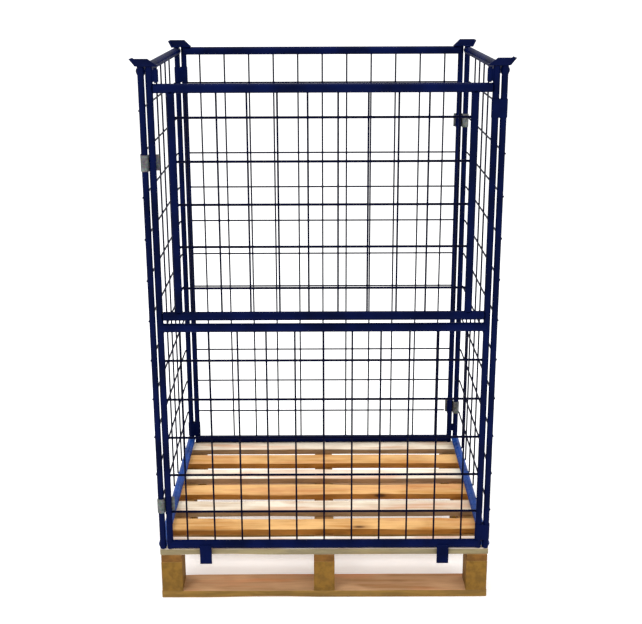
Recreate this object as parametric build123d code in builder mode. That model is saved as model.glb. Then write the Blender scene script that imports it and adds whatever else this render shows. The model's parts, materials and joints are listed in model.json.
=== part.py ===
from build123d import *
import os

# Wire mesh container: a cage of four welded tube-and-mesh walls on a wooden block pallet.
# Millimetres. Z is up and Y runs from front to back. The origin is on the floor, under the
# middle of the pallet, so the front wall stands at negative Y.

os.makedirs("parts", exist_ok=True)

# Pallet
pallet_width = 1200.0
pallet_depth = 1000.0
deck_board_count = 7
board_width = 100.0
deck_thickness = 24.0
stringer_width = 80.0
stringer_thickness = 28.0
block_height = 120.0
bottom_width = 126.0
bottom_thickness = 28.0
nail_length = 48.0
nail_radius = 1.6
nail_head_radius = 3.5
nail_head_thickness = 1.2

# Tubes and wire
post_radius = 11.0
rail_radius = 15.5
gate_upright_radius = 13.0
tube_wall = 2.0
wire_radius = 3.25
front_row_radius = 4.25
wire_gap = 0.05

# Where the walls stand
side_plane = 589.0
end_plane = 489.0
post_pitch = 27.0
gate_upright_x = 496.0

# Heights above the deck
cap_seat_height = 1730.0
top_rail_height = 1714.0
gate_top_height = 1659.0
gate_pivot_height = 887.0
middle_rail_height = 845.0
deck_clearance = 1.5
cap_clearance = 1.0

# Mesh
wire_pitch = 100.0
side_wire_pitch = 125.0
wall_row_count = 11
wall_row_pitch = 144.0
wall_rows_middle = 866.0
side_row_stop = 6.5
fitting_row_stop = 14.0
front_row_pitch = 145.0

# Corner caps
cap_leg = 72.0
cap_leg_width = 32.0
cap_thickness = 4.0
lip_height = 24.0
lip_reach = 16.0
lip_thickness = 3.0
lip_top_length = 44.0

# Hinge sleeves
sleeve_height = 60.0
sleeve_radius = 13.2
sleeve_play = 0.3
front_sleeve_heights = (35.0, 1562.0)
back_sleeve_heights = (35.0, 1590.0)

# Spring clips
clip_height = 54.0
clip_thickness = 2.4
clip_play = 0.6
clip_wrap = 185.0
clip_tongue_gap = 1.5
clip_tongue_overhang = 9.0
clip_row_gap = 3.0
front_clip_heights = {"lower": 146.0, "upper": 1389.0}
back_clip_heights = {"lower": 138.0, "upper": 1404.0}

# Catches beside the rear clips, and the link between the two posts of the rigid corner
catch_thickness = 2.2
catch_turn = 90.0
catch_start = 35.0
link_depth = 12.0
link_height = 29.0
link_base = 54.0

# Gate pins and drop bolts
end_gap = 1.0
pivot_pin_radius = 6.0
pivot_play = 0.1
pivot_pin_depth = 22.0
end_plug_length = 25.0
bolt_radius = 6.0
bolt_play = 0.3
bolt_offset = 21.0
bolt_lift = 1.5
bolt_length = 50.0
guide_radius = 9.0
guide_height = 40.0
guide_drop = 6.0

# Locating lugs
lug_width = 43.0
lug_thickness = 4.0
lug_drop = 55.0
lug_rise = 20.0
lug_x = 432.0

# Levels and lines worked out from the sizes above
block_base = bottom_thickness
stringer_base = block_base + block_height
deck_base = stringer_base + stringer_thickness
deck_top = deck_base + deck_thickness
cap_seat = deck_top + cap_seat_height
free_top = cap_seat - cap_clearance
free_base = deck_top + deck_clearance
top_rail_z = deck_top + top_rail_height
fixed_bottom_z = deck_top + rail_radius
free_bottom_z = free_base + rail_radius
gate_top_z = deck_top + gate_top_height
gate_pivot_z = deck_top + gate_pivot_height
middle_rail_z = deck_top + middle_rail_height
post_x = side_plane - post_pitch
gate_half = post_x - post_radius - end_gap
bolt_x = post_x - bolt_offset
board_pitch = (pallet_depth - board_width) / (deck_board_count - 1)
stringer_x = (pallet_width - stringer_width) / 2
block_y = (pallet_depth - board_width) / 2
bottom_y = (pallet_depth - bottom_width) / 2
side_name = {-1: "left", 1: "right"}


def save(piece, name):
    """Label a finished piece and write it to its own file."""
    piece.part.label = name
    export_step(piece.part, f"parts/{name}.step")


def spaced(count, pitch, middle=0.0):
    """Evenly spaced places about a middle one."""
    return [middle + (i - (count - 1) / 2) * pitch for i in range(count)]


# ---------------------------------------------------------------- pallet

def board(name, size, centre, base):
    """A flat board lying on the level base."""
    with BuildPart() as plank:
        with BuildSketch(Plane.XY.offset(base)):
            with Locations(centre):
                Rectangle(size[0], size[1])
        extrude(amount=size[2])
    save(plank, name)


def block_row(name, x):
    """Three blocks in a row from front to back."""
    with BuildPart() as blocks:
        with BuildSketch(Plane.XY.offset(block_base)):
            with Locations(*[(x, y) for y in (-block_y, 0, block_y)]):
                Rectangle(stringer_width, board_width)
        extrude(amount=block_height)
    save(blocks, name)


deck_rows = spaced(deck_board_count, board_pitch)
for number, row_y in enumerate(deck_rows, start=1):
    board(f"deck_board_{number}", (pallet_width, board_width, deck_thickness), (0, row_y), deck_base)

for place, column_x in (("left", -stringer_x), ("centre", 0), ("right", stringer_x)):
    stringer_size = (stringer_width, pallet_depth, stringer_thickness)
    board(f"stringer_{place}", stringer_size, (column_x, 0), stringer_base)
    block_row(f"blocks_{place}", column_x)

for place, row_y in (("front", -bottom_y), ("middle", 0), ("back", bottom_y)):
    board(f"bottom_board_{place}", (pallet_width, bottom_width, bottom_thickness), (0, row_y), 0)

# Two nails, set on a slant, hold each deck board to each stringer.
nail_places = [
    (column_x + side * stringer_width / 4, row_y + side * board_width / 4)
    for column_x in (-stringer_x, 0, stringer_x)
    for row_y in deck_rows
    for side in (-1, 1)
]
with BuildPart() as deck_nails:
    with BuildSketch(Plane.XY.offset(deck_top)):
        with Locations(*nail_places):
            Circle(nail_head_radius)
    extrude(amount=-nail_head_thickness)
    with BuildSketch(Plane.XY.offset(deck_top)):
        with Locations(*nail_places):
            Circle(nail_radius)
    extrude(amount=-nail_length)
save(deck_nails, "deck_nails")


# ---------------------------------------------------------------- tubes and mesh

def upright(name, x, y, low, high):
    """A vertical tube."""
    with BuildPart() as post:
        with BuildSketch(Plane.XY.offset(low)):
            with Locations((x, y)):
                Circle(post_radius)
                Circle(post_radius - tube_wall, mode=Mode.SUBTRACT)
        extrude(amount=high - low)
    save(post, name)


def rail(name, start, end):
    """A level tube whose two ends are coped round the uprights that it joins."""
    start, end = Vector(start), Vector(end)
    with BuildPart() as bar:
        with BuildSketch(Plane(origin=start, z_dir=end - start)):
            Circle(rail_radius)
            Circle(rail_radius - tube_wall, mode=Mode.SUBTRACT)
        extrude(amount=(end - start).length)
        with Locations(start, end):
            Cylinder(post_radius, 4 * rail_radius, mode=Mode.SUBTRACT)
    save(bar, name)


def mesh(name, face, columns, rows, low, high, row_size=wire_radius):
    """Wire mesh on one side of a wall: columns lie on the rails, and rows lie inside the columns.

    face is the plane of the wall's tubes, with its X along the wall and its Z towards the mesh.
    Each row is its height and the two places between which it runs.
    """
    column_plane = rail_radius + wire_gap + wire_radius
    row_plane = column_plane - wire_radius - wire_gap - row_size
    with BuildPart() as wires:
        for z, first, last in rows:
            start = face.from_local_coords(Vector(first, z, row_plane))
            with BuildSketch(Plane(origin=start, z_dir=face.x_dir)):
                Circle(row_size)
            extrude(amount=last - first)
        for x in columns:
            start = face.from_local_coords(Vector(x, low, column_plane))
            with BuildSketch(Plane(origin=start, z_dir=face.y_dir)):
                Circle(wire_radius)
            extrude(amount=high - low)
    save(wires, name)


def butted_rows(heights, tube_at, tube_size, row_size):
    """Rows of wire that butt on the flanks of the tubes either side of them."""
    inner_side = rail_radius - 2 * row_size
    reach = tube_at - (tube_size**2 - inner_side**2) ** 0.5 - wire_gap
    return [(z, -reach, reach) for z in heights]


def meets_rear_clip(z):
    """Whether a wire at height z would run into one of the rear clips."""
    low, high = -wire_radius, clip_height + wire_radius
    return any(low < z - deck_top - base < high for base in back_clip_heights.values())


# The plane of each wall's tubes, Y up and Z towards the mesh. The front wall and its gate carry
# their mesh on the inside, and the other walls carry it on the outside.
front_face = Plane(origin=(0, -end_plane, 0), x_dir=(-1, 0, 0), z_dir=(0, 1, 0))
back_face = Plane(origin=(0, end_plane, 0), x_dir=(-1, 0, 0), z_dir=(0, 1, 0))
side_face = {
    -1: Plane(origin=(-side_plane, 0, 0), x_dir=(0, -1, 0), z_dir=(-1, 0, 0)),
    1: Plane(origin=(side_plane, 0, 0), x_dir=(0, 1, 0), z_dir=(1, 0, 0)),
}
wall_rows = spaced(wall_row_count, wall_row_pitch, deck_top + wall_rows_middle)
wall_columns = spaced(11, wire_pitch)
side_columns = spaced(7, side_wire_pitch)

# Back wall. The rows that meet a rear clip stop short of its tongue.
for side in (-1, 1):
    upright(f"back_post_{side_name[side]}", side * post_x, end_plane, deck_top, cap_seat)
rail("back_top_rail", (-post_x, end_plane, top_rail_z), (post_x, end_plane, top_rail_z))
rail("back_bottom_rail", (-post_x, end_plane, fixed_bottom_z), (post_x, end_plane, fixed_bottom_z))
tongue_end = post_x - post_radius - clip_tongue_overhang
back_rows = [
    (z, clip_row_gap - tongue_end if meets_rear_clip(z) else first, last)
    for z, first, last in butted_rows(wall_rows, post_x, post_radius, wire_radius)
]
mesh("back_mesh", back_face, wall_columns, back_rows, fixed_bottom_z, top_rail_z)

# Side walls. The left wall swings, so it clears the deck and the cap over its rear upright. In the
# right wall, the top row stops short of the hinge sleeve that turns past its front end, and the rows
# that meet a rear clip stop short of that.
for side in (-1, 1):
    name = side_name[side]
    x = side * side_plane
    base = free_base if side < 0 else deck_top
    bottom_z = base + rail_radius
    rear_top = free_top if side < 0 else cap_seat
    upright(f"{name}_upright_front", x, -end_plane, base, cap_seat)
    upright(f"{name}_upright_rear", x, end_plane, base, rear_top)
    rail(f"{name}_top_rail", (x, -end_plane, top_rail_z), (x, end_plane, top_rail_z))
    rail(f"{name}_bottom_rail", (x, -end_plane, bottom_z), (x, end_plane, bottom_z))
    row_end = end_plane - side_row_stop
    short_end = end_plane - fitting_row_stop
    side_rows = [
        (
            z,
            -short_end if side > 0 and z == wall_rows[-1] else -row_end,
            short_end if side > 0 and meets_rear_clip(z) else row_end,
        )
        for z in wall_rows
    ]
    mesh(f"{name}_mesh", side_face[side], side_columns, side_rows, bottom_z, top_rail_z)

# Front wall: full-height posts, with fixed mesh over the lower half only.
for side in (-1, 1):
    upright(f"front_post_{side_name[side]}", side * post_x, -end_plane, free_base, free_top)
for name, z in (("front_middle_rail", middle_rail_z), ("front_bottom_rail", free_bottom_z)):
    rail(name, (-post_x, -end_plane, z), (post_x, -end_plane, z))
front_row_heights = spaced(5, front_row_pitch, (free_bottom_z + middle_rail_z) / 2)
front_rows = butted_rows(front_row_heights, post_x, post_radius, front_row_radius)
mesh("front_mesh", front_face, wall_columns, front_rows, free_bottom_z, middle_rail_z, front_row_radius)


# ---------------------------------------------------------------- gate in the upper front

# The top rail has a hole near each end for a drop bolt.
with BuildPart() as gate_top_rail:
    with BuildSketch(Plane(origin=(-gate_half, -end_plane, gate_top_z), z_dir=(1, 0, 0))):
        Circle(rail_radius)
        Circle(rail_radius - tube_wall, mode=Mode.SUBTRACT)
    extrude(amount=2 * gate_half)
    with BuildSketch(Plane.XY.offset(gate_top_z)):
        with Locations((-bolt_x, -end_plane), (bolt_x, -end_plane)):
            Circle(bolt_radius + 2 * bolt_play)
    extrude(amount=2 * rail_radius, mode=Mode.SUBTRACT)
save(gate_top_rail, "gate_top_rail")

# The pivot rail has a bored plug in each end.
with BuildPart() as gate_pivot_rail:
    with BuildSketch(Plane(origin=(-gate_half, -end_plane, gate_pivot_z), z_dir=(1, 0, 0))):
        Circle(rail_radius)
        Circle(pivot_pin_radius + pivot_play, mode=Mode.SUBTRACT)
    extrude(amount=2 * gate_half)
    hollow_half = gate_half - end_plug_length
    with BuildSketch(Plane(origin=(-hollow_half, -end_plane, gate_pivot_z), z_dir=(1, 0, 0))):
        Circle(rail_radius - tube_wall)
    extrude(amount=2 * hollow_half, mode=Mode.SUBTRACT)
save(gate_pivot_rail, "gate_pivot_rail")

for side in (-1, 1):
    with BuildPart() as gate_upright:
        with BuildSketch(Plane.XY.offset(gate_pivot_z)):
            with Locations((side * gate_upright_x, -end_plane)):
                Circle(gate_upright_radius)
                Circle(gate_upright_radius - tube_wall, mode=Mode.SUBTRACT)
        extrude(amount=gate_top_z - gate_pivot_z)
        for z in (gate_pivot_z, gate_top_z):
            with Locations(Location((side * gate_upright_x, -end_plane, z), (0, 90, 0))):
                Cylinder(rail_radius, 4 * gate_upright_radius, mode=Mode.SUBTRACT)
    save(gate_upright, f"gate_upright_{side_name[side]}")

gate_row_heights = spaced(5, front_row_pitch, (gate_pivot_z + gate_top_z) / 2)
gate_rows = butted_rows(gate_row_heights, gate_upright_x, gate_upright_radius, front_row_radius)
mesh("gate_mesh", front_face, spaced(10, wire_pitch), gate_rows, gate_pivot_z, gate_top_z, front_row_radius)

# Two stub pins on the posts carry the pivot rail.
with BuildPart() as gate_pivot_pins:
    for side in (-1, 1):
        pin_root = (side * post_x, -end_plane, gate_pivot_z)
        with BuildSketch(Plane(origin=pin_root, z_dir=(-side, 0, 0))):
            Circle(pivot_pin_radius)
        extrude(amount=post_radius + end_gap + pivot_pin_depth)
        with Locations(pin_root):
            Cylinder(post_radius, 4 * rail_radius, mode=Mode.SUBTRACT)
save(gate_pivot_pins, "gate_pivot_pins")

# A drop bolt stands over each end of the gate's top rail, in a guide on the post.
bolt_base = gate_top_z + rail_radius + bolt_lift
guide_base = bolt_base + bolt_length - guide_drop - guide_height
for side in (-1, 1):
    with BuildPart() as drop_bolt:
        with BuildSketch(Plane.XY.offset(bolt_base)):
            with Locations((side * bolt_x, -end_plane)):
                Circle(bolt_radius)
        extrude(amount=bolt_length)
        chamfer(drop_bolt.faces().sort_by(Axis.Z)[0].edges(), length=1.5)
    save(drop_bolt, f"drop_bolt_{side_name[side]}")

with BuildPart() as bolt_guides:
    with BuildSketch(Plane.XY.offset(guide_base)):
        for side in (-1, 1):
            with Locations((side * bolt_x, -end_plane)):
                Circle(guide_radius)
            with Locations((side * (bolt_x + bolt_offset / 2), -end_plane)):
                Rectangle(bolt_offset, 1.2 * guide_radius)
        with Locations((-post_x, -end_plane), (post_x, -end_plane)):
            Circle(post_radius, mode=Mode.SUBTRACT)
        with Locations((-bolt_x, -end_plane), (bolt_x, -end_plane)):
            Circle(bolt_radius + bolt_play, mode=Mode.SUBTRACT)
    extrude(amount=guide_height)
save(bolt_guides, "bolt_guides")


# ---------------------------------------------------------------- corner caps

# The caps' outer corner is flush with the rails. The two lips lean outwards and meet on a mitre,
# and their free ends are cut on a slant. The front left cap is drawn, and the others are its mirror
# images.
corner_x = -side_plane - rail_radius
corner_y = -end_plane - rail_radius
lip_length = (lip_height**2 + lip_reach**2) ** 0.5
lean = Vector(0, -lip_reach, lip_height).normalized()
lip_plane = Plane(origin=(corner_x, corner_y, cap_seat), x_dir=(1, 0, 0), z_dir=Vector(1, 0, 0).cross(lean))
diagonal = Plane(origin=(corner_x, corner_y, cap_seat), z_dir=(1, -1, 0))

with BuildPart() as cap_front_left:
    with BuildSketch(Plane.XY.offset(cap_seat)):
        with BuildLine():
            Polyline(
                (corner_x, corner_y),
                (corner_x + cap_leg, corner_y),
                (corner_x + cap_leg, corner_y + cap_leg_width),
                (corner_x + cap_leg_width, corner_y + cap_leg_width),
                (corner_x + cap_leg_width, corner_y + cap_leg),
                (corner_x, corner_y + cap_leg),
                close=True,
            )
        make_face()
    extrude(amount=cap_thickness)
    with BuildSketch(lip_plane):
        with BuildLine():
            Polyline(
                (0, 0),
                (cap_leg, 0),
                (lip_top_length, lip_length),
                (-lip_reach, lip_length),
                close=True,
            )
        make_face()
    extrude(amount=-lip_thickness)
    mirror(about=diagonal)
save(cap_front_left, "cap_front_left")

with BuildPart() as cap_front_right:
    mirror(cap_front_left.part, about=Plane.YZ)
save(cap_front_right, "cap_front_right")

with BuildPart() as cap_back_left:
    mirror(cap_front_left.part, about=Plane.XZ)
save(cap_back_left, "cap_back_left")

with BuildPart() as cap_back_right:
    mirror(cap_front_right.part, about=Plane.XZ)
save(cap_back_right, "cap_back_right")


# ---------------------------------------------------------------- hinge sleeves and spring clips

def hinge_sleeves(name, side, y, heights):
    """Two sleeves welded to the inner post, with the outer upright turning freely in them."""
    with BuildPart() as sleeves:
        for height in heights:
            with BuildSketch(Plane.XY.offset(deck_top + height)):
                with Locations((side * (side_plane - post_pitch / 2), y)):
                    SlotCenterToCenter(post_pitch, 2 * sleeve_radius)
                with Locations((side * side_plane, y)):
                    Circle(post_radius + sleeve_play, mode=Mode.SUBTRACT)
                with Locations((side * post_x, y)):
                    Circle(post_radius, mode=Mode.SUBTRACT)
            extrude(amount=sleeve_height)
    save(sleeves, name)


def spring_clip(name, side, y, height):
    """A clip bent round the front of an outer upright, its tongue lying behind the inner post.

    The strip runs round the upright, back between the two tubes, and along behind the post.
    """
    x = side * side_plane
    bend = post_radius + clip_play + clip_thickness / 2
    tongue_y = post_radius + clip_tongue_gap + clip_thickness / 2
    with BuildPart() as clip:
        with BuildSketch(Plane.XY.offset(deck_top + height)):
            with BuildLine():
                wrap = CenterArc((x, y), bend, 90 - side * (290 - clip_wrap), -side * clip_wrap)
                Polyline(
                    wrap @ 1,
                    (x - side * post_pitch / 2, y + tongue_y),
                    (side * tongue_end, y + tongue_y),
                )
            trace(line_width=clip_thickness)
        extrude(amount=clip_height)
    save(clip, name)


hinge_sleeves("hinge_sleeves_front", 1, -end_plane, front_sleeve_heights)
hinge_sleeves("hinge_sleeves_back", -1, end_plane, back_sleeve_heights)

for level, height in front_clip_heights.items():
    spring_clip(f"clip_front_{level}", -1, -end_plane, height)
for level, height in back_clip_heights.items():
    spring_clip(f"clip_back_{level}", 1, end_plane, height)

# A saddle plate beside each rear clip, round the inner side of the post.
catch_radius = post_radius + catch_thickness / 2
with BuildPart() as clip_catches:
    for height in back_clip_heights.values():
        with BuildSketch(Plane.XY.offset(deck_top + height)):
            with BuildLine():
                CenterArc((post_x, end_plane), catch_radius, 180 + catch_start, -catch_turn)
            trace(line_width=catch_thickness)
            with Locations((post_x, end_plane)):
                Circle(post_radius, mode=Mode.SUBTRACT)
        extrude(amount=clip_height)
save(clip_catches, "clip_catches")

# The right wall is fixed to the back wall by a link between their posts, below the lower clip.
with BuildPart() as corner_link:
    with BuildSketch(Plane.XY.offset(deck_top + link_base)):
        with Locations((side_plane - post_pitch / 2, end_plane)):
            Rectangle(post_pitch, link_depth)
        with Locations((side_plane, end_plane), (post_x, end_plane)):
            Circle(post_radius, mode=Mode.SUBTRACT)
    extrude(amount=link_height)
save(corner_link, "corner_link")


# ---------------------------------------------------------------- locating lugs

def lugs(name, face, low, high):
    """Two flat lugs on the outside of a bottom rail, hanging past the edge of the deck.

    face is the plane through the rail, facing outwards.
    """
    with BuildPart() as plates:
        with BuildSketch(face.offset(rail_radius)):
            with Locations(*[(x, (low + high) / 2) for x in (-lug_x, lug_x)]):
                Rectangle(lug_width, high - low)
        extrude(amount=lug_thickness)
    save(plates, name)


lugs("front_lugs", Plane.XZ.offset(end_plane), deck_top - lug_drop, deck_top + lug_rise)
lugs("back_lugs", back_face, deck_top - lug_drop, deck_top + lug_rise)
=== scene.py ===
import json
import math
import random

import bmesh
import bpy
from mathutils import Matrix, Vector, noise


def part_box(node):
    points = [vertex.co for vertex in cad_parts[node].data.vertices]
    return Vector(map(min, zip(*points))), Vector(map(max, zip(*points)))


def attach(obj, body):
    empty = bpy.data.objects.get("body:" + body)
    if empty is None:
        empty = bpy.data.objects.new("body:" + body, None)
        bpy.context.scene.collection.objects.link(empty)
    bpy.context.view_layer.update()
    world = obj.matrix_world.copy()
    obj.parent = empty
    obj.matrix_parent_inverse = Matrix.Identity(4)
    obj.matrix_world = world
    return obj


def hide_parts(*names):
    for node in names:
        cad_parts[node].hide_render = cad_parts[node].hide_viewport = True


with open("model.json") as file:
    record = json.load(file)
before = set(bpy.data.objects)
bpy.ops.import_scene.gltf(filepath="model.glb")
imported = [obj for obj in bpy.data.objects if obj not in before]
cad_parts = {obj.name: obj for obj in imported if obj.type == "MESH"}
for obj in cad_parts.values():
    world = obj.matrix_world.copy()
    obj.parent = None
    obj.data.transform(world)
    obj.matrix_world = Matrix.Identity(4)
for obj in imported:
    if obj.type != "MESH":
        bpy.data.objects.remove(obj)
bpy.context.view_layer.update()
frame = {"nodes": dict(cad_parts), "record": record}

# Looks of the wire mesh container: tubes and wires in navy powder coat with their weld beads,
# zinc-plated spring clips, and rough-sawn pine boards. Metres, in the frame of the CAD model.

nodes = frame["nodes"]
record = frame["record"]
body_of_node = {node: body for body, members in record["behaviour"]["bodies"].items() for node in members}

MM = 0.001
X_AXIS = Vector((1, 0, 0))
Y_AXIS = Vector((0, 1, 0))

TUBE_SIDES = 40
TUBE_WALL = 2 * MM
TUBE_ARRIS = 0.4 * MM

WIRE_SIDES = 12
WIRE_RADIUS = 3.25 * MM
HEAVY_WIRE_RADIUS = 4.25 * MM
WIRE_ARRIS = 0.4 * MM
COLUMN_PITCH = 0.1
SIDE_PITCH = 0.125
WALL_ROW_PITCH = 0.144
FRONT_ROW_PITCH = 0.145
WALL_ROWS_MIDDLE = 0.866

BEAD_RADIUS = 1.4 * MM
SLEEVE_BEAD_RADIUS = 1.5 * MM
BEAD_SIDES = 8
BEAD_STEPS = 36
SLEEVE_HEIGHT = 0.060
BLOCK_DEPTH = 0.1

# How much the rows beside a fitting are cut short at their near and far ends, by their number.
BACK_ROW_CUTS = {0: (0, 0.0167), 9: (0, 0.0167)}
RIGHT_ROW_CUTS = {0: (0, 0.0075), 9: (0, 0.0075), 10: (0.0075, 0)}


# ---------------------------------------------------------------- mesh helpers

def low(node):
    """The low corner of a node's box."""
    return Vector(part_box(node)[0])


def high(node):
    """The high corner of a node's box."""
    return Vector(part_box(node)[1])


def middle(node):
    """The middle of a node's box."""
    return (low(node) + high(node)) / 2


def runs_along_x(node):
    """Whether a level rail runs across the container, not from front to back."""
    return high(node).x - low(node).x > high(node).y - low(node).y


def ring_points(place, radius, sides):
    """Points round a level circle."""
    turns = [math.tau * k / sides for k in range(sides)]
    return [place + Vector((radius * math.cos(a), radius * math.sin(a), 0)) for a in turns]


def new_object(name, bm, material, smooth_angle=35):
    """A finished mesh object from bm, smooth except across edges sharper than smooth_angle degrees."""
    bmesh.ops.recalc_face_normals(bm, faces=bm.faces)
    mesh = bpy.data.meshes.new(name)
    bm.to_mesh(mesh)
    bm.free()
    mesh.materials.append(material)
    for polygon in mesh.polygons:
        polygon.use_smooth = True
    mesh.set_sharp_from_angle(angle=math.radians(smooth_angle))
    obj = bpy.data.objects.new(name, mesh)
    bpy.context.scene.collection.objects.link(obj)
    return obj


def stand_for(obj, node):
    """obj takes the place of one CAD node, on the same body."""
    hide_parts(node)
    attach(obj, body_of_node[node])


def bridge(bm, a, b):
    """Quads between two closed rings with the same number of vertices."""
    for i in range(len(a)):
        j = (i + 1) % len(a)
        bm.faces.new((a[i], a[j], b[j], b[i]))


def cross_axes(direction):
    """Two unit vectors square to direction, the second as near to up as it can be."""
    up = Vector((0, 0, 1)) if abs(direction.z) < 0.9 else Vector((0, 1, 0))
    side = direction.cross(up).normalized()
    return side, side.cross(direction).normalized()


def add_tube(bm, start, end, radius, sides, wall=0.0, cope=0.0, arris=0.0):
    """A tube or rod from start to end. cope is the radius of an upright that its ends fit round."""
    start, end = Vector(start), Vector(end)
    direction = (end - start).normalized()
    side, up = cross_axes(direction)

    def ring(at, r, inward, coped):
        out = []
        for k in range(sides):
            a = math.tau * k / sides
            across = r * math.cos(a)
            step = math.sqrt(max(cope * cope - across * across, 0.0)) if coped else 0.0
            out.append(bm.verts.new(at + side * across + up * (r * math.sin(a)) + inward * step))
        return out

    outer = [ring(start, radius - arris, direction, True)]
    if arris:
        outer.append(ring(start + direction * arris, radius, direction, True))
    if cope:
        outer.append(ring(start + direction * 2 * cope, radius, direction, False))
        outer.append(ring(end - direction * 2 * cope, radius, -direction, False))
    if arris:
        outer.append(ring(end - direction * arris, radius, -direction, True))
    outer.append(ring(end, radius - arris, -direction, True))
    for a, b in zip(outer, outer[1:]):
        bridge(bm, a, b)
    if wall:
        inner = [ring(start, radius - wall, direction, True), ring(end, radius - wall, -direction, True)]
        bridge(bm, inner[0], inner[1])
        bridge(bm, outer[0], inner[0])
        bridge(bm, outer[-1], inner[1])
    else:
        bm.faces.new(outer[0])
        bm.faces.new(outer[-1])


def add_lump(bm, place, radii, rings=4, sides=8):
    """A flattened ball of weld metal."""
    place = Vector(place)
    loops = []
    for r in range(1, rings):
        polar = math.pi * r / rings
        loops.append([
            bm.verts.new(place + Vector((
                radii[0] * math.sin(polar) * math.cos(math.tau * k / sides),
                radii[1] * math.sin(polar) * math.sin(math.tau * k / sides),
                radii[2] * math.cos(polar),
            )))
            for k in range(sides)
        ])
    for a, b in zip(loops, loops[1:]):
        bridge(bm, a, b)
    for loop, z in ((loops[0], radii[2]), (loops[-1], -radii[2])):
        tip = bm.verts.new(place + Vector((0, 0, z)))
        for i in range(sides):
            bm.faces.new((loop[i], loop[(i + 1) % sides], tip))


def add_bead(bm, path, radius, seed):
    """A weld bead round a closed path, with the ripples that each drop of weld metal leaves."""
    turns = [math.tau * k / BEAD_SIDES for k in range(BEAD_SIDES)]
    rings = []
    travelled = 0.0
    for i, point in enumerate(path):
        before = path[i - 1]
        after = path[(i + 1) % len(path)]
        if i:
            travelled += (point - before).length
        side, up = cross_axes((after - before).normalized())
        unevenness = noise.noise(point * 160 + Vector((seed, 0, 0)))
        r = radius * (1 + 0.16 * math.sin(travelled / (0.55 * MM)) + 0.25 * unevenness)
        rings.append([bm.verts.new(point + side * (r * math.cos(a)) + up * (r * math.sin(a))) for a in turns])
    for a, b in zip(rings, rings[1:] + rings[:1]):
        bridge(bm, a, b)


# ---------------------------------------------------------------- material helpers

class Shader:
    """A node material with short calls for what every finish here needs."""

    def __init__(self, name, colour, metallic, roughness, specular):
        self.material = bpy.data.materials.new(name)
        self.material.use_nodes = True
        self.tree = self.material.node_tree
        self.surface = self.tree.nodes["Principled BSDF"]
        self.surface.inputs["Base Color"].default_value = (*colour, 1)
        self.surface.inputs["Metallic"].default_value = metallic
        self.surface.inputs["Roughness"].default_value = roughness
        self.surface.inputs["Specular IOR Level"].default_value = specular
        self.place = self.node("ShaderNodeTexCoord").outputs["Object"]

    def node(self, kind, **settings):
        made = self.tree.nodes.new(kind)
        for key, value in settings.items():
            setattr(made, key, value)
        return made

    def link(self, output, target):
        self.tree.links.new(output, target)

    def mapping(self, scale=(1, 1, 1), shift=(0, 0, 0), turn=(0, 0, 0), source=None):
        made = self.node("ShaderNodeMapping")
        made.inputs["Scale"].default_value = scale
        made.inputs["Location"].default_value = shift
        made.inputs["Rotation"].default_value = turn
        self.link(source or self.place, made.inputs["Vector"])
        return made.outputs["Vector"]

    def noise(self, vector, scale, detail=2.0, rough=0.5):
        made = self.node("ShaderNodeTexNoise")
        made.inputs["Scale"].default_value = scale
        made.inputs["Detail"].default_value = detail
        made.inputs["Roughness"].default_value = rough
        self.link(vector, made.inputs["Vector"])
        return made.outputs["Fac"]

    def voronoi(self, vector, scale, output="Distance"):
        made = self.node("ShaderNodeTexVoronoi")
        made.inputs["Scale"].default_value = scale
        self.link(vector, made.inputs["Vector"])
        return made.outputs[output]

    def ramp(self, value, stops):
        made = self.node("ShaderNodeValToRGB")
        elements = made.color_ramp.elements
        while len(elements) < len(stops):
            elements.new(0.5)
        for element, (position, colour) in zip(elements, stops):
            element.position = position
            element.color = (*colour, 1) if isinstance(colour, tuple) else (colour, colour, colour, 1)
        self.link(value, made.inputs["Fac"])
        return made.outputs["Color"]

    def math(self, operation, a, b=None, clamp=False):
        made = self.node("ShaderNodeMath", operation=operation, use_clamp=clamp)
        for target, value in zip(made.inputs, (a, b)):
            if value is None:
                continue
            if isinstance(value, (int, float)):
                target.default_value = value
            else:
                self.link(value, target)
        return made.outputs["Value"]

    def mix(self, amount, a, b, blend="MIX"):
        made = self.node("ShaderNodeMix", data_type="RGBA", blend_type=blend)
        for target, value in ((made.inputs[0], amount), (made.inputs[6], a), (made.inputs[7], b)):
            if isinstance(value, tuple):
                target.default_value = (*value, 1)
            elif isinstance(value, (int, float)):
                target.default_value = value
            else:
                self.link(value, target)
        return made.outputs[2]

    def facing(self):
        """0 where a surface is seen face on, and 1 along its outline."""
        return self.node("ShaderNodeLayerWeight").outputs["Facing"]

    def bump(self, height, distance, strength=1.0, below=None):
        made = self.node("ShaderNodeBump")
        made.inputs["Strength"].default_value = strength
        made.inputs["Distance"].default_value = distance
        self.link(height, made.inputs["Height"])
        if below:
            self.link(below, made.inputs["Normal"])
        return made.outputs["Normal"]

    def set(self, socket, output):
        self.link(output, self.surface.inputs[socket])


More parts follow.
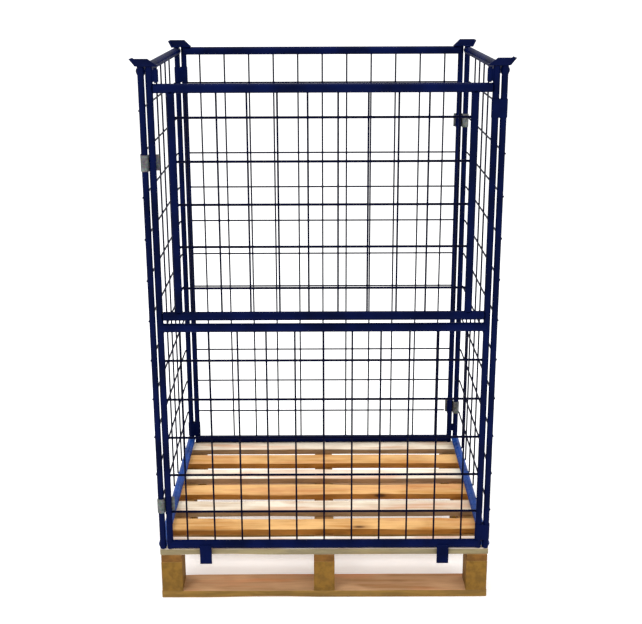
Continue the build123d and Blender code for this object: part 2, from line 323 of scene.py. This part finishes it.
def powder_coat(name, dark, light, rubbed, sheen):
    """Semi-gloss powder coat: orange peel, a little unevenness, and pale rub marks."""
    s = Shader(name, light, 0.0, 0.26, sheen)
    cloud = s.ramp(s.noise(s.place, 9, 3), [(0.35, 0.0), (0.65, 1.0)])
    colour = s.mix(cloud, dark, light)
    rub_area = s.ramp(s.noise(s.place, 5, 2), [(0.54, 0.0), (0.68, 1.0)])
    rub_line = s.ramp(s.noise(s.mapping((60, 60, 260)), 3, 4, 0.7), [(0.6, 0.0), (0.7, 1.0)])
    rub = s.math("MULTIPLY", s.math("MULTIPLY", rub_area, rub_line), 0.45)
    s.set("Base Color", s.mix(rub, colour, rubbed))
    s.set("Roughness", s.math("ADD", 0.2, s.math("MULTIPLY", s.noise(s.place, 40, 3), 0.16)))
    s.set("Specular IOR Level", s.ramp(s.facing(), [(0.25, sheen), (0.8, 0.05 * sheen)]))
    peel = s.bump(s.noise(s.place, 700, 2), 0.06 * MM)
    s.set("Normal", s.bump(s.noise(s.place, 120, 2), 0.1 * MM, 0.5, peel))
    return s.material


def wire_coat():
    """The same powder coat, darker and less glossy on the thin wires."""
    s = Shader("wire_powder_coat", (0.001, 0.002, 0.012), 0.0, 0.35, 0.02)
    s.set("Base Color", s.mix(s.noise(s.place, 25, 3), (0.0005, 0.0009, 0.006), (0.0012, 0.002, 0.018)))
    s.set("Roughness", s.math("ADD", 0.28, s.math("MULTIPLY", s.noise(s.place, 90, 2), 0.18)))
    s.set("Normal", s.bump(s.noise(s.place, 600, 2), 0.08 * MM))
    return s.material


def galvanised():
    """Dulled zinc plating with its frosty crystal patches."""
    s = Shader("zinc_plating", (0.1, 0.103, 0.11), 0.45, 0.5, 0.3)
    crystal = s.voronoi(s.place, 260, "Color")
    grey = s.ramp(s.noise(s.place, 60, 4, 0.65), [(0.3, 0.0), (0.7, 1.0)])
    colour = s.mix(0.3, s.mix(grey, (0.045, 0.048, 0.05), (0.17, 0.175, 0.18)), crystal, "SOFT_LIGHT")
    s.set("Base Color", s.mix(1.0, colour, (0.97, 1.0, 0.96), "MULTIPLY"))
    s.set("Roughness", s.math("ADD", 0.36, s.math("MULTIPLY", s.voronoi(s.place, 300), 0.35)))
    s.set("Normal", s.bump(s.noise(s.place, 500, 2), 0.05 * MM))
    return s.material


def nail_steel():
    """Dull steel nail heads with a brown bloom."""
    s = Shader("nail_head_steel", (0.1, 0.07, 0.05), 0.5, 0.5, 0.5)
    rust, steel = (0.03, 0.014, 0.007), (0.15, 0.12, 0.1)
    s.set("Base Color", s.ramp(s.noise(s.place, 350, 3), [(0.35, rust), (0.65, steel)]))
    s.set("Roughness", s.math("ADD", 0.35, s.math("MULTIPLY", s.noise(s.place, 500, 2), 0.35)))
    s.set("Normal", s.bump(s.noise(s.place, 900, 2), 0.15 * MM))
    return s.material


class Pine(Shader):
    """Sawn pine, with its grain drawn out along one board or one row of blocks."""

    def __init__(self, name, along_y, pale, seed):
        super().__init__(name, pale, 0.0, 0.7, 0.15)
        self.draw = random.Random(seed)
        self.shift = tuple(self.draw.uniform(-3, 3) for _ in range(3))
        self.grain = self.mapping(turn=(0, 0, math.radians(90) if along_y else 0))

    def along(self, scale, shift=None):
        """A place in the grain, where scale is small along the board and large across it."""
        return self.mapping(scale, self.shift if shift is None else shift, source=self.grain)

    def growth_rings(self, knot_pull):
        """Bands by the distance from the pith, bent by slow noise and pushed aside by the knots."""
        reaches = ((-1, 1), (-0.06, 0.06), (-0.26, -0.05))
        pith = self.along((0.35, 1, 1), tuple(self.draw.uniform(*reach) for reach in reaches))
        apart = self.node("ShaderNodeSeparateXYZ")
        self.link(pith, apart.inputs["Vector"])
        across = self.math("MULTIPLY", apart.outputs["Y"], apart.outputs["Y"])
        upward = self.math("MULTIPLY", apart.outputs["Z"], apart.outputs["Z"])
        distance = self.math("SQRT", self.math("ADD", across, upward))
        wander = self.noise(self.along((1.2, 9, 9)), 1.6, 3)
        bent = self.math("ADD", distance, self.math("MULTIPLY", wander, 0.03))
        bent = self.math("ADD", bent, self.math("MULTIPLY", knot_pull, 0.008))
        band = self.math("FRACT", self.math("MULTIPLY", bent, self.draw.uniform(210, 330)))
        return self.ramp(band, [(0.0, 0.15), (0.62, 0.35), (0.9, 1.0), (1.0, 0.15)])

    def broad_faces(self, latewood, fibre, pale, deep, dark):
        """The planed faces: rings, darker streaks, paler and redder patches, and dark fibres."""
        streak = self.noise(self.along((3, 60, 60)), 1.0, 3)
        patch = self.noise(self.along((4, 8, 8)), 1.0, 2)
        blush = self.noise(self.along((2.2, 14, 14), tuple(-c for c in self.shift)), 1.0, 3, 0.6)
        paler = tuple(min(0.95, c * 1.22) for c in pale)
        wood = self.mix(self.math("MULTIPLY", latewood, 0.55), pale, deep)
        wood = self.mix(self.ramp(streak, [(0.45, 0.0), (0.62, 0.8)]), wood, deep)
        wood = self.mix(self.ramp(patch, [(0.47, 0.0), (0.6, 0.75)]), wood, paler)
        wood = self.mix(self.ramp(blush, [(0.5, 0.0), (0.64, 0.45)]), wood, (0.62, 0.24, 0.1))
        fibres = self.math("MULTIPLY", self.ramp(fibre, [(0.3, 1.0), (0.6, 0.0)]), 0.3)
        return self.mix(fibres, wood, dark)

    def sawn_and_shaded_sides(self, wood, latewood, side):
        """Sawn sides are browner than the broad faces, and darker in streaks of dirt. Part of their darkness
        is painted shade, given to every face that doesn't look up.
        """
        normal = self.node("ShaderNodeSeparateXYZ")
        self.link(self.node("ShaderNodeNewGeometry").outputs["Normal"], normal.inputs["Vector"])
        sideways = self.math("SUBTRACT", 1.0, self.math("ABSOLUTE", normal.outputs["Z"]), clamp=True)
        stain = self.ramp(self.noise(self.along((5, 34, 34)), 1.0, 5, 0.7), [(0.42, 0.0), (0.58, 1.0)])
        sawn = self.mix(self.math("MULTIPLY", latewood, 0.5), side, tuple(c * 0.55 for c in side))
        sawn = self.mix(self.math("MULTIPLY", stain, 0.6), sawn, tuple(c * 0.42 for c in side))
        # Partly painted shade: faces that turn away from up take the darker side colour.
        cover = self.math("MULTIPLY", self.ramp(sideways, [(0.15, 0.0), (0.7, 1.0)]), 0.92)
        return self.mix(cover, wood, sawn)

    def knots(self, wood, knot, dark):
        """A few dark spots, each with a softer halo."""
        halo = self.math("MULTIPLY", self.ramp(knot, [(0.06, 0.75), (0.17, 0.0)]), 0.8)
        core = self.ramp(knot, [(0.035, 1.0), (0.075, 0.0)])
        return self.mix(core, self.mix(halo, wood, dark), tuple(c * 0.35 for c in dark))

    def relief(self, fibre, latewood):
        """Raised fibres, the marks of the saw across the board, and proud latewood."""
        saw_marks = self.noise(self.along((420, 12, 12)), 1.0, 2)
        rough = self.bump(fibre, 0.5 * MM)
        sawn = self.bump(saw_marks, 0.35 * MM, 0.5, rough)
        return self.bump(latewood, 0.25 * MM, 0.6, sawn)


def pine(name, along_y, tint, seed):
    """The finish of one wooden piece in one of the TINTS."""
    pale, deep, dark, side = tint
    s = Pine(name, along_y, pale, seed)
    knot = s.voronoi(s.along((2.6, 7, 7)), 1.0)
    latewood = s.growth_rings(s.ramp(knot, [(0.0, 1.0), (0.3, 0.0)]))
    fibre = s.noise(s.along((14, 700, 700)), 1.0, 3, 0.7)
    wood = s.broad_faces(latewood, fibre, pale, deep, dark)
    wood = s.sawn_and_shaded_sides(wood, latewood, side)
    s.set("Base Color", s.knots(wood, knot, dark))
    s.set("Roughness", s.math("ADD", 0.6, s.math("MULTIPLY", fibre, 0.25)))
    s.set("Normal", s.relief(fibre, latewood))
    return s.material


navy = powder_coat(
    "navy_powder_coat",
    dark=(0.0007, 0.0025, 0.02),
    light=(0.0014, 0.0046, 0.04),
    rubbed=(0.015, 0.033, 0.15),
    sheen=0.025,
)
# Painted light: a lighter copy of the navy coat for the side bottom rails, standing in for the light that
# these rails catch.
painted_light_blue = powder_coat(
    "bright_blue_powder_coat",
    dark=(0.006, 0.03, 0.15),
    light=(0.012, 0.06, 0.29),
    rubbed=(0.06, 0.13, 0.5),
    sheen=0.12,
)
wire_navy = wire_coat()
zinc = galvanised()
nail_finish = nail_steel()


# ---------------------------------------------------------------- tubes

def upright_tube(node):
    """A vertical tube with softened rims."""
    lo, hi = low(node), high(node)
    mid = middle(node)
    radius = (hi.x - lo.x) / 2
    bm = bmesh.new()
    add_tube(bm, (mid.x, mid.y, lo.z), (mid.x, mid.y, hi.z), radius, TUBE_SIDES, TUBE_WALL, arris=TUBE_ARRIS)
    stand_for(new_object(f"{node}_tube", bm, navy), node)


def rail_ends(node):
    """Both ends of a level rail, on its axis."""
    lo, hi = low(node), high(node)
    mid = middle(node)
    if runs_along_x(node):
        return Vector((lo.x, mid.y, mid.z)), Vector((hi.x, mid.y, mid.z))
    return Vector((mid.x, lo.y, mid.z)), Vector((mid.x, hi.y, mid.z))


def rail_tube(node, material):
    """A level tube with its ends coped round the uprights."""
    start, end = rail_ends(node)
    radius = (high(node).z - low(node).z) / 2
    bm = bmesh.new()
    add_tube(bm, start, end, radius, TUBE_SIDES, TUBE_WALL, POST_RADIUS)
    stand_for(new_object(f"{node}_tube", bm, material), node)


UPRIGHT_ENDINGS = ("_upright_front", "_upright_rear", "_post_left", "_post_right")
# The side bottom rails take the lighter copy of the navy coat, which is painted light.
PAINTED_LIGHT_RAILS = ("left_bottom_rail", "right_bottom_rail")
POST_RADIUS = (high("back_post_left").x - low("back_post_left").x) / 2
RAIL_RADIUS = (high("back_top_rail").z - low("back_top_rail").z) / 2
GATE_UPRIGHT_RADIUS = (high("gate_upright_left").x - low("gate_upright_left").x) / 2
DECK_TOP = high("deck_board_1").z

for node in [n for n in nodes if n.endswith(UPRIGHT_ENDINGS)]:
    upright_tube(node)
for node in [n for n in nodes if n.endswith("_rail") and not n.startswith("gate")]:
    rail_tube(node, painted_light_blue if node in PAINTED_LIGHT_RAILS else navy)


def gate_tubes():
    """The gate's uprights, coped on its two rails."""
    for node in ("gate_upright_left", "gate_upright_right"):
        mid = middle(node)
        foot = (mid.x, mid.y, middle("gate_pivot_rail").z)
        head = (mid.x, mid.y, middle("gate_top_rail").z)
        bm = bmesh.new()
        add_tube(bm, foot, head, GATE_UPRIGHT_RADIUS, TUBE_SIDES, TUBE_WALL, RAIL_RADIUS)
        stand_for(new_object(f"{node}_tube", bm, navy), node)


gate_tubes()


# ---------------------------------------------------------------- welded wire mesh

def spaced(count, pitch):
    """Evenly spaced places about zero."""
    return [(i - (count - 1) / 2) * pitch for i in range(count)]


class Wall:
    """How the wires of one mesh are laid out. towards points from the rows to the upright wires."""

    def __init__(
        self, towards, columns, column_pitch, rows, row_pitch, row_radius, rows_middle=None, cuts=None
    ):
        self.towards = Vector(towards)
        self.along = Vector((abs(self.towards.y), abs(self.towards.x), 0))
        self.columns = spaced(columns, column_pitch)
        self.rows = spaced(rows, row_pitch)
        self.row_radius = row_radius
        self.rows_middle = rows_middle
        self.cuts = cuts or {}


WALL_MIDDLE = DECK_TOP + WALL_ROWS_MIDDLE
MESHES = {
    "back_mesh": Wall(Y_AXIS, 11, COLUMN_PITCH, 11, WALL_ROW_PITCH, WIRE_RADIUS, WALL_MIDDLE, BACK_ROW_CUTS),
    "left_mesh": Wall(-X_AXIS, 7, SIDE_PITCH, 11, WALL_ROW_PITCH, WIRE_RADIUS, WALL_MIDDLE),
    "right_mesh": Wall(X_AXIS, 7, SIDE_PITCH, 11, WALL_ROW_PITCH, WIRE_RADIUS, WALL_MIDDLE, RIGHT_ROW_CUTS),
    "front_mesh": Wall(Y_AXIS, 11, COLUMN_PITCH, 5, FRONT_ROW_PITCH, HEAVY_WIRE_RADIUS),
    "gate_mesh": Wall(Y_AXIS, 10, COLUMN_PITCH, 5, FRONT_ROW_PITCH, HEAVY_WIRE_RADIUS),
}


def end_lump(wall, wire_radius):
    """The size of the weld at a wire's end: wider than the wire along the wall, flat square to it."""
    flat = Vector((abs(wall.towards.x), abs(wall.towards.y), 0))
    return Vector((1, 1, 1)) * (wire_radius + 1.0 * MM) - flat * 1.4 * MM


def add_wire(bm, wall, start, end, radius, cuts=(0, 0)):
    """A straight wire, with a weld at each end that isn't cut short."""
    add_tube(bm, start, end, radius, WIRE_SIDES, arris=WIRE_ARRIS)
    for point, cut in zip((start, end), cuts):
        if not cut:
            add_lump(bm, point - wall.towards * 0.8 * radius, end_lump(wall, radius))


def wire_mesh(node):
    """Straight wires in two layers, fused at every crossing and to the tubes at both ends."""
    wall = MESHES[node]
    towards, along = wall.towards, wall.along
    lo, hi = low(node), high(node)
    mid = middle(node)
    half = (hi - lo).dot(along) / 2
    # The upright wires touch the rails. Their layer is the farther one from the tubes' axes.
    face = (hi if towards.x + towards.y > 0 else lo).dot(towards)
    column_plane = face - WIRE_RADIUS
    row_plane = column_plane - WIRE_RADIUS - wall.row_radius
    base = mid - towards * mid.dot(towards)
    base.z = 0
    bm = bmesh.new()
    row_heights = [(wall.rows_middle or mid.z) + z for z in wall.rows]
    for number, z in enumerate(row_heights):
        near_cut, far_cut = wall.cuts.get(number, (0, 0))
        start = base + towards * row_plane - along * (half - near_cut) + Vector((0, 0, z))
        end = base + towards * row_plane + along * (half - far_cut) + Vector((0, 0, z))
        add_wire(bm, wall, start, end, wall.row_radius, (near_cut, far_cut))
    for x in wall.columns:
        line = base + towards * column_plane + along * x
        add_wire(bm, wall, line + Vector((0, 0, lo.z)), line + Vector((0, 0, hi.z)), WIRE_RADIUS)
    crossing = Vector((1, 1, 1)) * 0.95 * WIRE_RADIUS
    for z in row_heights:
        for x in wall.columns:
            place = base + towards * (column_plane - WIRE_RADIUS) + along * x + Vector((0, 0, z))
            add_lump(bm, place, crossing)
    stand_for(new_object(f"{node}_wires", bm, wire_navy), node)


for node in MESHES:
    wire_mesh(node)


# ---------------------------------------------------------------- weld beads

def coped_bead(bm, rail_end, direction, seed):
    """The bead round the joint of a rail's end on an upright."""
    side, up = cross_axes(direction)
    steps = 16
    path = []
    for half_turn in (1, -1):
        for i in range(steps + 1):
            a = (i / steps - 0.5) * math.pi * half_turn
            across = POST_RADIUS * math.sin(a)
            rise = math.sqrt(RAIL_RADIUS**2 - across**2) * half_turn
            path.append(rail_end + direction * (POST_RADIUS * math.cos(a)) + side * across + up * rise)
    add_bead(bm, path, BEAD_RADIUS, seed)


def ring_bead(bm, centre, radius, seed, bead_radius=BEAD_RADIUS):
    """A bead round an upright at one level."""
    add_bead(bm, ring_points(Vector(centre), radius, BEAD_STEPS), bead_radius, seed)


def saddle_bead(bm, rail_centre, upwards, seed):
    """The bead round the foot of a gate upright, which sits on a rail along X."""
    path = []
    for k in range(BEAD_STEPS):
        a = math.tau * k / BEAD_STEPS
        across = GATE_UPRIGHT_RADIUS * math.sin(a)
        rise = math.sqrt(RAIL_RADIUS**2 - across**2)
        path.append(Vector(rail_centre) + Vector((GATE_UPRIGHT_RADIUS * math.cos(a), across, upwards * rise)))
    add_bead(bm, path, BEAD_RADIUS, seed)


def weld_piece(name, body, draw):
    """One piece that holds all the beads of a body."""
    bm = bmesh.new()
    draw(bm)
    obj = new_object(name, bm, navy, 60)
    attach(obj, body)


def rail_joints(bm, rails, seed):
    """Beads at both ends of each rail."""
    for number, rail in enumerate(rails):
        inward = X_AXIS if runs_along_x(rail) else Y_AXIS
        start, end = rail_ends(rail)
        coped_bead(bm, start, inward, seed + number)
        coped_bead(bm, end, -inward, seed + number)


def cap_joints(bm, posts, seed):
    """Beads where the caps sit on their posts."""
    for number, post in enumerate(posts):
        mid = middle(post)
        ring_bead(bm, (mid.x, mid.y, high(post).z - 0.5 * BEAD_RADIUS), POST_RADIUS, seed + number)


def sleeve_joints(bm, sleeves, post, seed):
    """Beads where a wall's two hinge sleeves meet the post that they are welded to."""
    mid = middle(post)
    bottom, top = low(sleeves).z, high(sleeves).z
    for number, z in enumerate((bottom, bottom + SLEEVE_HEIGHT, top - SLEEVE_HEIGHT, top)):
        ring_bead(bm, (mid.x, mid.y, z), POST_RADIUS + 0.6 * MM, seed + number, SLEEVE_BEAD_RADIUS)


def base_welds(bm):
    rail_joints(bm, ["back_top_rail", "back_bottom_rail", "right_top_rail", "right_bottom_rail"], 1)
    cap_joints(bm, ["back_post_left", "back_post_right", "right_upright_front", "right_upright_rear"], 11)
    sleeve_joints(bm, "hinge_sleeves_back", "back_post_left", 21)


def left_welds(bm):
    rail_joints(bm, ["left_top_rail", "left_bottom_rail"], 31)
    cap_joints(bm, ["left_upright_front"], 41)


def front_welds(bm):
    rail_joints(bm, ["front_middle_rail", "front_bottom_rail"], 51)
    sleeve_joints(bm, "hinge_sleeves_front", "front_post_right", 61)


def gate_welds(bm):
    for upright in ("gate_upright_left", "gate_upright_right"):
        mid = middle(upright)
        saddle_bead(bm, (mid.x, mid.y, middle("gate_pivot_rail").z), 1, 71)
        saddle_bead(bm, (mid.x, mid.y, middle("gate_top_rail").z), -1, 72)


weld_piece("cage_base_weld_beads", "cage_base", base_welds)
weld_piece("left_wall_weld_beads", "left_wall", left_welds)
weld_piece("front_wall_weld_beads", "front_wall", front_welds)
weld_piece("gate_weld_beads", "gate", gate_welds)


# ---------------------------------------------------------------- fittings that keep their CAD shape

def dress(node, material, bevel):
    """Give a CAD node its finish, and soften its sharp edges."""
    obj = nodes[node]
    obj.data.materials.clear()
    obj.data.materials.append(material)
    if bevel:
        edge = obj.modifiers.new("edges", "BEVEL")
        edge.width = bevel
        edge.segments = 2
        edge.limit_method = "ANGLE"
        edge.angle_limit = math.radians(40)


BLUNT_FITTINGS = ("hinge_sleeves_", "bolt_guides", "drop_bolt_", "front_lugs", "back_lugs", "corner_link")

for node in nodes:
    if node.startswith("cap_"):
        dress(node, navy, 0.9 * MM)
    elif node.startswith(BLUNT_FITTINGS):
        dress(node, navy, 0.6 * MM)
    elif node == "clip_catches":
        dress(node, navy, 0.4 * MM)
    elif node.startswith("clip_"):
        dress(node, zinc, 0.4 * MM)
    elif node in ("gate_top_rail", "gate_pivot_rail", "gate_pivot_pins"):
        dress(node, navy, 0)


# ---------------------------------------------------------------- wood

# Each tint is its pale wood, its latewood, its darkest marks and its sawn sides, whose darker colour is
# partly painted shade.
TINTS = {
    "white": ((0.86, 0.78, 0.72), (0.72, 0.57, 0.45), (0.36, 0.22, 0.12), (0.25, 0.20, 0.085)),
    "cream": ((0.80, 0.70, 0.57), (0.62, 0.46, 0.30), (0.36, 0.21, 0.10), (0.28, 0.15, 0.055)),
    "pink": ((0.95, 0.793, 0.647), (0.756, 0.537, 0.378), (0.439, 0.244, 0.134), (0.342, 0.171, 0.061)),
    "orange": ((0.74, 0.44, 0.175), (0.55, 0.23, 0.045), (0.22, 0.08, 0.015), (0.40, 0.145, 0.016)),
    "tan": ((0.50, 0.30, 0.16), (0.33, 0.17, 0.07), (0.10, 0.04, 0.012), (0.24, 0.135, 0.024)),
    "brown": ((0.33, 0.205, 0.06), (0.21, 0.11, 0.028), (0.075, 0.036, 0.01), (0.22, 0.108, 0.013)),
    "umber": ((0.30, 0.17, 0.06), (0.20, 0.10, 0.03), (0.08, 0.04, 0.012), (0.20, 0.085, 0.014)),
}
DECK_TINTS = ("white", "orange", "cream", "orange", "pink", "orange", "cream")
DECK_WANE = (0.6, 2.0, 0.9, 1.4, 1.0, 1.4, 1.0)
STATION_PITCH = 0.011
CORNER_STEPS = 4


def board_outline(width, depth, s, phase, wane):
    """The section at s along a board, as points round its four softened corners."""
    drift = [noise.noise(Vector((s * 3.1, phase[k], 0))) for k in (0, 1)]
    left, right = (width - 0.0012 - 0.002 * (1 + d) * wane for d in drift)
    outline = []
    for corner, (sx, sz) in enumerate(((1, 1), (-1, 1), (-1, -1), (1, -1))):
        bark = max(0.0, noise.noise(Vector((s * 2.3, phase[4 + corner], 4))) - 0.12)
        chipping = 1 + noise.noise(Vector((s * 40, phase[4 + corner], 9)))
        radius = min(1.3 * MM + bark * 0.022 * wane + 0.4 * MM * chipping, 0.8 * depth, 0.4 * width)
        reach = right if sx > 0 else left
        begin = math.atan2(sz, sx) - math.pi / 4
        for p in range(CORNER_STEPS + 1):
            a = begin + math.pi / 2 * p / CORNER_STEPS
            x = sx * (reach - radius) + radius * math.cos(a)
            z = sz * (depth - radius) + radius * math.sin(a)
            outline.append((x, z))
    return outline


def close_end(bm, ring, inward):
    """The sawn end of a board, a little rounded at its rim."""
    centre = sum((v.co for v in ring), Vector()) / len(ring)
    rim = [bm.verts.new(v.co + (centre - v.co).normalized() * 1.5 * MM) for v in ring]
    for v in ring:
        v.co += inward * 1.2 * MM
    bridge(bm, ring, rim)
    bm.faces.new(rim)


def add_board(bm, lo, hi, along, seed, wane):
    """A sawn board: its outline and arrises wander along its length, with waney stretches."""
    centre = (lo + hi) / 2
    half = (hi - lo) / 2
    across = Y_AXIS if along.x else X_AXIS
    length = half.dot(along)
    stations = max(8, int(length / STATION_PITCH))
    draw = random.Random(seed)
    phase = [draw.uniform(0, 100) for _ in range(8)]
    rings = []
    for i in range(stations + 1):
        s = -length + 2 * length * (i / stations)
        outline = board_outline(half.dot(across), half.z, s, phase, wane)
        rings.append([bm.verts.new(centre + along * s + across * x + Vector((0, 0, z))) for x, z in outline])
    for a, b in zip(rings, rings[1:]):
        bridge(bm, a, b)
    close_end(bm, rings[0], along)
    close_end(bm, rings[-1], -along)


def block_boxes(node):
    """The boxes of the front, middle and back block of a row."""
    lo, hi = low(node), high(node)
    fronts = (lo.y, (lo.y + hi.y - BLOCK_DEPTH) / 2, hi.y - BLOCK_DEPTH)
    return [(Vector((lo.x, y, lo.z)), Vector((hi.x, y + BLOCK_DEPTH, hi.z))) for y in fronts]


def wooden(node, along, tint, seed, wane, boxes=None):
    """Stand one detailed wooden piece in for a CAD board, or for a row of blocks."""
    material = pine(f"{node}_pine", bool(along.y), TINTS[tint], seed)
    bm = bmesh.new()
    for number, (lo, hi) in enumerate(boxes or [(low(node), high(node))]):
        add_board(bm, lo, hi, along, seed + 50 * number, wane)
    stand_for(new_object(f"{node}_wood", bm, material, 50), node)


for number, (tint, wane) in enumerate(zip(DECK_TINTS, DECK_WANE), start=1):
    wooden(f"deck_board_{number}", X_AXIS, tint, 100 + number, wane)

for number, place in enumerate(("front", "middle", "back")):
    wooden(f"bottom_board_{place}", X_AXIS, "tan", 120 + number, 0.8)

for number, place in enumerate(("left", "centre", "right")):
    wooden(f"stringer_{place}", Y_AXIS, "umber", 130 + number, 0.6)
    blocks = f"blocks_{place}"
    wooden(blocks, Y_AXIS, "brown", 140 + number, 0.4, block_boxes(blocks))


def add_nail_head(bm, place):
    """A round flat nail head, slightly dished. Each point of its profile is a radius and a height."""
    rings = []
    for radius, height in ((2.2, -0.45), (3.1, -0.1), (3.5, -0.3), (3.5, -1.2)):
        level = place + Vector((0, 0, height * MM))
        rings.append([bm.verts.new(point) for point in ring_points(level, radius * MM, 16)])
    for a, b in zip(rings, rings[1:]):
        bridge(bm, a, b)
    bm.faces.new(rings[0])
    bm.faces.new(rings[-1])


def nail_heads():
    """Two nail heads where each deck board crosses a stringer, driven just below the boards' face."""
    top = high("deck_nails").z
    rows = [middle(f"deck_board_{number}").y for number in range(1, len(DECK_TINTS) + 1)]
    columns = [middle(f"stringer_{place}").x for place in ("left", "centre", "right")]
    step = Vector(((high("stringer_left").x - low("stringer_left").x) / 4, BLOCK_DEPTH / 4, 0))
    bm = bmesh.new()
    for x in columns:
        for y in rows:
            add_nail_head(bm, Vector((x, y, top)) - step)
            add_nail_head(bm, Vector((x, y, top)) + step)
    stand_for(new_object("deck_nail_heads", bm, nail_finish), "deck_nails")


nail_heads()


# ---------------------------------------------------------------- floor, light and camera

FLOOR_REACH = 250
LIGHTS_AIM = Vector((0, 0, 0.9))
# Each light's name, place, width and power.
LIGHTS = (
    ("key_light", (-2.6, -3.4, 4.6), 1.3, 75),
    ("fill_light", (3.4, -3.0, 3.2), 1.3, 30),
    ("back_light", (0.5, 4.5, 4.0), 2.0, 30),
    ("top_light", (0.0, 0.0, 5.2), 1.6, 40),
)
CAMERA_PLACE = (-0.0086, -4.2285, 2.2221)
CAMERA_LENS = 63.74
CAMERA_TILT = math.radians(90 - 16.698)
CAMERA_ROLL = math.radians(-0.204)


def sky():
    """An even white sky."""
    scene = bpy.context.scene
    scene.view_settings.view_transform = "Standard"
    world = bpy.data.worlds.new("white_studio")
    scene.world = world
    world.use_nodes = True
    background = world.node_tree.nodes["Background"].inputs
    background["Color"].default_value = (1, 1, 1, 1)
    background["Strength"].default_value = 1.12


def floor():
    """A plain white floor that reaches past the horizon."""
    reach = FLOOR_REACH
    corners = ((-reach, -reach), (reach, -reach), (reach, reach), (-reach, reach))
    bm = bmesh.new()
    bm.faces.new([bm.verts.new((x, y, 0)) for x, y in corners])
    white = Shader("floor_white", (0.92, 0.92, 0.92), 0.0, 0.9, 0.1)
    white.surface.inputs["Emission Color"].default_value = (1, 1, 1, 1)
    white.surface.inputs["Emission Strength"].default_value = 0.25
    new_object("studio_floor", bm, white.material)


def lights():
    """Large soft lights, all turned to the middle of the container."""
    for name, place, width, power in LIGHTS:
        lamp = bpy.data.lights.new(name, "AREA")
        lamp.shape = "SQUARE"
        lamp.size = width
        lamp.energy = power
        obj = bpy.data.objects.new(name, lamp)
        obj.location = place
        obj.rotation_euler = (LIGHTS_AIM - Vector(place)).to_track_quat("-Z", "Y").to_euler()
        bpy.context.scene.collection.objects.link(obj)


def camera():
    """A long lens above head height, looking down at the front a little."""
    data = bpy.data.cameras.new("camera")
    data.lens = CAMERA_LENS
    data.sensor_width = 36
    obj = bpy.data.objects.new("camera", data)
    turn = Matrix.Rotation(CAMERA_TILT, 4, "X") @ Matrix.Rotation(CAMERA_ROLL, 4, "Z")
    obj.matrix_world = Matrix.Translation(CAMERA_PLACE) @ turn
    bpy.context.scene.collection.objects.link(obj)
    bpy.context.scene.camera = obj


sky()
floor()
lights()
camera()
